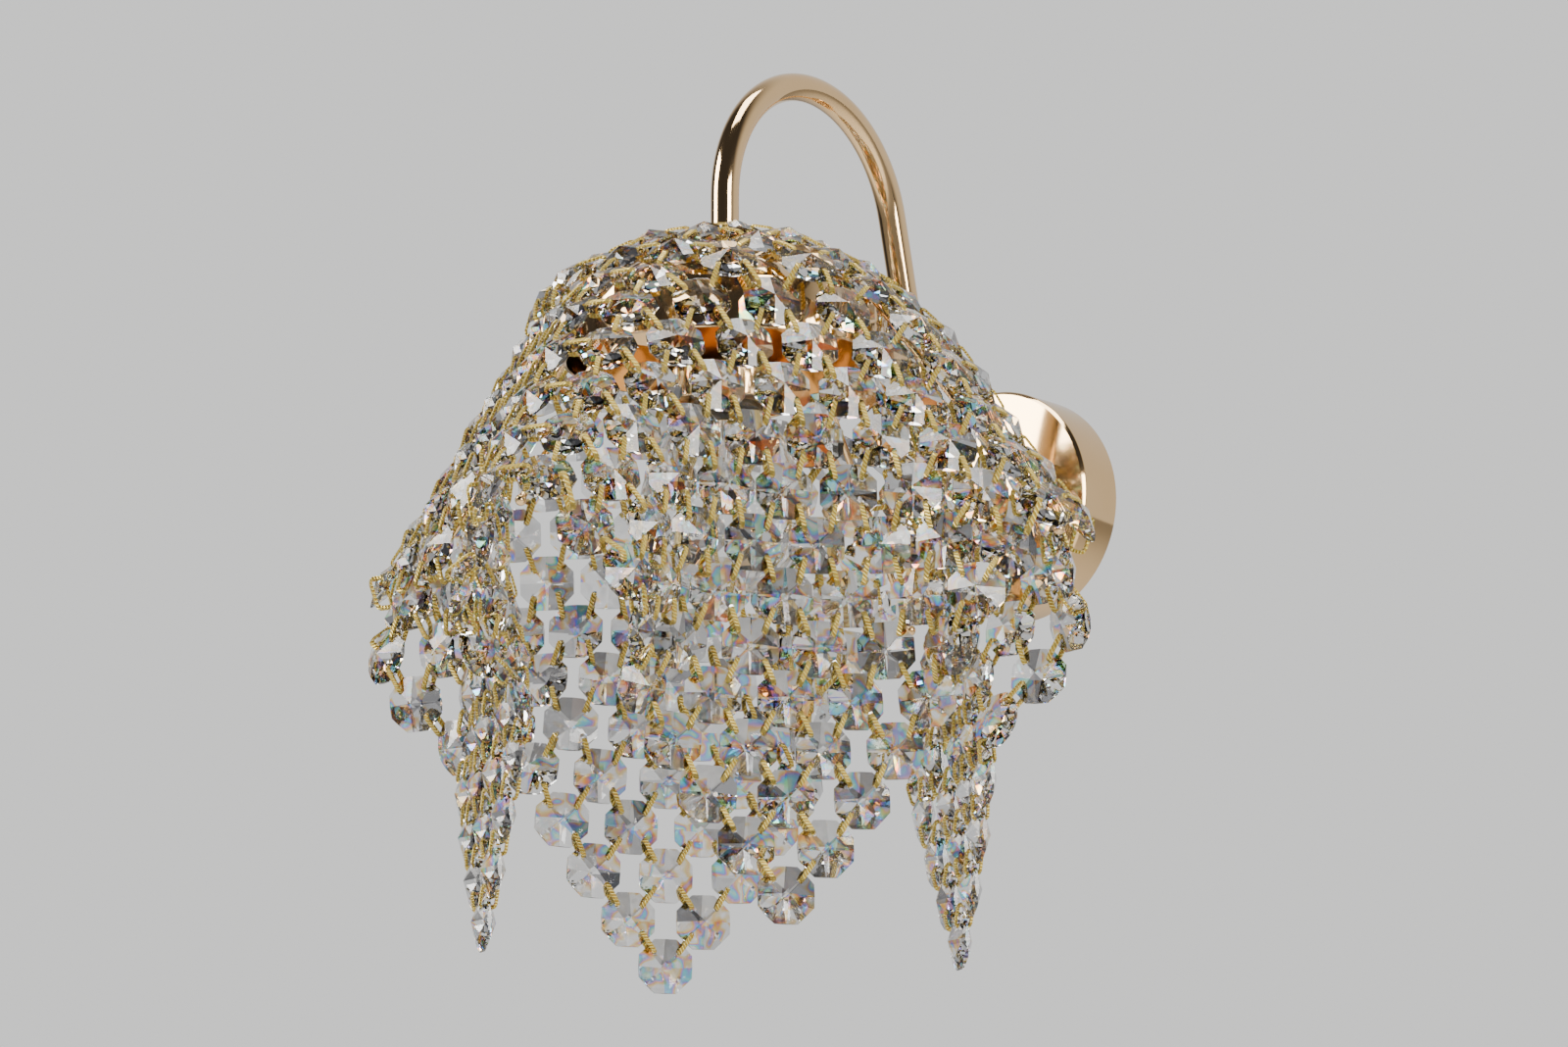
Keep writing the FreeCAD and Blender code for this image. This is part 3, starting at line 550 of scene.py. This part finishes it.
def pinLine():
    # middle line of the loop in its own plane, anticlockwise from the outer bar's far end
    drop, bow = pinWire["drop"], pinWire["round"]
    run = pinWire["baseLength"] / 2 - pinWire["legInset"] - bow
    line = [(run - 2 * run * k / pinWire["bars"], 0.0) for k in range(pinWire["bars"] + 1)]
    for cx, cz, first in ((-run, -bow, 90), (-run, bow - drop, 180), (run, bow - drop, 270),
                          (run, -bow, 0)):
        for k in range(1 if first == 90 else 0, pinWire["turns"] + (0 if first == 0 else 1)):
            turn = math.radians(first + 90 * k / pinWire["turns"])
            line.append((cx + bow * math.cos(turn), cz + bow * math.sin(turn)))
    return line


def pinLoop():
    line = pinLine()
    bm = bmesh.new()
    first = front = None
    along, across, length = [], [], 0.0
    for k, spot in enumerate(line):
        ahead, behind = line[(k + 1) % len(line)], line[k - 1]
        lean = math.atan2(ahead[1] - behind[1], ahead[0] - behind[0])
        turn = (Matrix.Translation((spot[0] * mm, 0, spot[1] * mm))
                @ Matrix.Rotation(math.pi / 2 - lean, 4, "Y")
                @ Matrix.Diagonal((pinWire["thick"], pinWire["width"], 1, 1))
                @ Matrix.Rotation(math.pi / 4, 4, "Z"))
        ring = bmesh.ops.create_circle(bm, cap_ends=False, segments=pinWire["sides"],
                                       radius=0.5 * math.sqrt(2) * mm, matrix=turn)["verts"]
        edges = list({e for v in ring for e in v.link_edges})
        if front:
            bmesh.ops.bridge_loops(bm, edges=front + edges)
        first, front = first or edges, edges
        length += math.dist(spot, behind) if k else 0.0
        along += [length] * len(ring)
        across += [v.co.y / mm for v in ring]
    bmesh.ops.bridge_loops(bm, edges=front + first)
    bmesh.ops.recalc_face_normals(bm, faces=bm.faces)
    mesh = bpy.data.meshes.new("pinLoop")
    bm.to_mesh(mesh)
    bm.free()
    return mesh, along, across


loopMesh, loopAlong, loopAcross = pinLoop()


def makePins(node, pins, body):
    bm = bmesh.new()
    for a, b, up in pins:
        along = (b - a).normalized()
        up = (up - along * up.dot(along)).normalized()
        stretch = (b - a).length / (pinWire["baseLength"] * mm)
        before = len(bm.verts)
        bm.from_mesh(loopMesh)
        bm.verts.ensure_lookup_table()
        middle = (a + b) / 2 + up * pinWire["thick"] / 2 * mm
        bmesh.ops.transform(bm, matrix=placeMatrix(middle, along, up, stretch),
                            verts=bm.verts[before:])
    piece = finishPiece(bm, "wire_" + node, "wire", body, [node], pinWire["sharp"])
    for name, values in (("along", loopAlong), ("across", loopAcross)):
        layer = piece.data.attributes.new(name, "FLOAT", "POINT")
        layer.data.foreach_set("value", values * len(pins))
    return piece


netParts = [("crown_crystals", "crown_pins", "fixture")]
for name in corners:
    netParts.append(("face_crystals_" + name, "face_pins_" + name, "fixture"))
    netParts.append(("corner_crystals_" + name, "corner_pins_" + name, "corner_" + name))
pinsOf = {pinNode: pinFrames(pinNode) for crystals, pinNode, body in netParts}
everyPin = [pin for pins in pinsOf.values() for pin in pins]
for crystals, pinNode, body in netParts:
    makeCrystals(crystals, everyPin, body)
    makePins(pinNode, pinsOf[pinNode], body)
print("net made:", len(everyPin), "pins")

# CAD pieces that keep their own shape
kept = {"wall_bracket": "steel", "earth_screw": "brass", "cover_screw": "gold", "arm_nut": "brass",
        "arm_washer": "steel", "terminal_block": "block", "terminal_screws": "steel",
        "pan_nut": "brass", "cup_nut": "brass", "lampholder_body": "insulator",
        "lampholder_shell": "brass",
        "lampholder_contact": "brass", "lamp_contact": "brass", "lamp_cap": "thread",
        "lamp_filaments": "filament", "lamp_stem": "lampGlass"}
kept.update({"rib_" + name: "gold" for name in corners})
for node, finish in kept.items():
    dress(nodes[node], finish)
print("kept nodes dressed:", len(kept))

# lengths in metres; the room is what the camera sees, pale and dim are what the pieces see
studio = {"floorDrop": 0.78, "floorSize": 14.0, "room": (0.93, 0.93, 0.92),
          "pale": (0.80, 0.80, 0.80), "dim": (0.05, 0.05, 0.055), "worldPower": 1.0}


def makeFloor():
    bm = bmesh.new()
    bmesh.ops.create_grid(bm, x_segments=1, y_segments=1, size=studio["floorSize"] / 2)
    bmesh.ops.translate(bm, verts=bm.verts, vec=(0, 0, -studio["floorDrop"]))
    mesh = bpy.data.meshes.new("floor")
    bm.to_mesh(mesh)
    bm.free()
    floor = bpy.data.objects.new("floor", mesh)
    bpy.context.scene.collection.objects.link(floor)
    paint = Finish("floorPaint", Roughness=0.7)
    paint.drive(Base_Color=paint.blend(paint.cloud(0.6), (0.80, 0.79, 0.77, 1),
                                       (0.77, 0.76, 0.74, 1)))
    floor.data.materials.append(paint.material)


def softLight(name, spot, aim, size, power, tint=(1, 1, 1)):
    light = bpy.data.lights.new(name, "AREA")
    light.shape, light.size, light.energy, light.color = "SQUARE", size, power, tint
    lampObject = bpy.data.objects.new(name, light)
    lampObject.location = spot
    lampObject.rotation_mode = "QUATERNION"
    lampObject.rotation_quaternion = (Vector(aim) - Vector(spot)).to_track_quat("-Z", "Y")
    bpy.context.scene.collection.objects.link(lampObject)


makeFloor()


def makeWorld():
    # a plain pale room; what the glass and gold see is darker on the camera's side
    world = bpy.data.worlds.new("studio")
    bpy.context.scene.world = world
    world.use_nodes = True
    tree = world.node_tree
    shine = tree.nodes["Background"]

    def put(kind, settings, inputs):
        made = tree.nodes.new("ShaderNode" + kind)
        for key, value in settings.items():
            setattr(made, key, value)
        for key, value in inputs.items():
            if isinstance(value, bpy.types.NodeSocket):
                tree.links.new(value, made.inputs[key])
            else:
                made.inputs[key].default_value = value
        return made

    place = put("TexCoord", {}, {}).outputs["Generated"]
    toward = put("SeparateXYZ", {}, {0: place}).outputs["Y"]
    share = put("MapRange", {"interpolation_type": "SMOOTHSTEP"},
                {"Value": toward, "From Min": -0.1, "From Max": 0.6}).outputs[0]
    seen = put("Mix", {"data_type": "RGBA"},
               {0: share, 6: (*studio["dim"], 1), 7: (*studio["pale"], 1)}).outputs[2]
    direct = put("LightPath", {}, {}).outputs["Is Camera Ray"]
    colour = put("Mix", {"data_type": "RGBA"},
                 {0: direct, 6: seen, 7: (*studio["room"], 1)}).outputs[2]
    tree.links.new(colour, shine.inputs["Color"])
    shine.inputs["Strength"].default_value = studio["worldPower"]


makeWorld()
aim = (0, -0.17, -0.02)
softLight("keyLeft", (-1.3, -1.5, 0.9), aim, 1.1, 62, (1.0, 0.98, 0.95))
softLight("fillRight", (1.9, -0.7, 0.4), aim, 0.9, 44, (1.0, 0.97, 0.93))
softLight("topLight", (0.1, -0.4, 1.9), aim, 1.0, 30)

view = {"azimuth": 37.73, "elevation": -11.84, "distance": 2.5, "pixelsPerMm": 2.92,
        "shiftRight": 20.8, "shiftUp": -33.26, "depth": 178.84}


def makeCamera():
    a, e = math.radians(view["azimuth"]), math.radians(view["elevation"])
    right = Vector((math.cos(a), math.sin(a), 0))
    up = Vector((-math.sin(a) * math.sin(e), math.cos(a) * math.sin(e), math.cos(e)))
    back = Vector((math.sin(a) * math.cos(e), -math.cos(a) * math.cos(e), math.sin(e)))
    aimAt = Vector((0, -view["depth"], 0)) + right * view["shiftRight"] + up * view["shiftUp"]
    camera = bpy.data.cameras.new("camera")
    camera.sensor_width = 36.0
    camera.lens = view["pixelsPerMm"] * view["distance"] * 1000 * 36.0 / 1600
    camera.clip_start, camera.clip_end = 0.05, 60.0
    holder = bpy.data.objects.new("camera", camera)
    holder.location = aimAt * mm + back * view["distance"]
    holder.rotation_mode = "QUATERNION"
    holder.rotation_quaternion = (-back).to_track_quat("-Z", "Y")
    bpy.context.scene.collection.objects.link(holder)
    bpy.context.scene.camera = holder


makeCamera()
print("studio made")
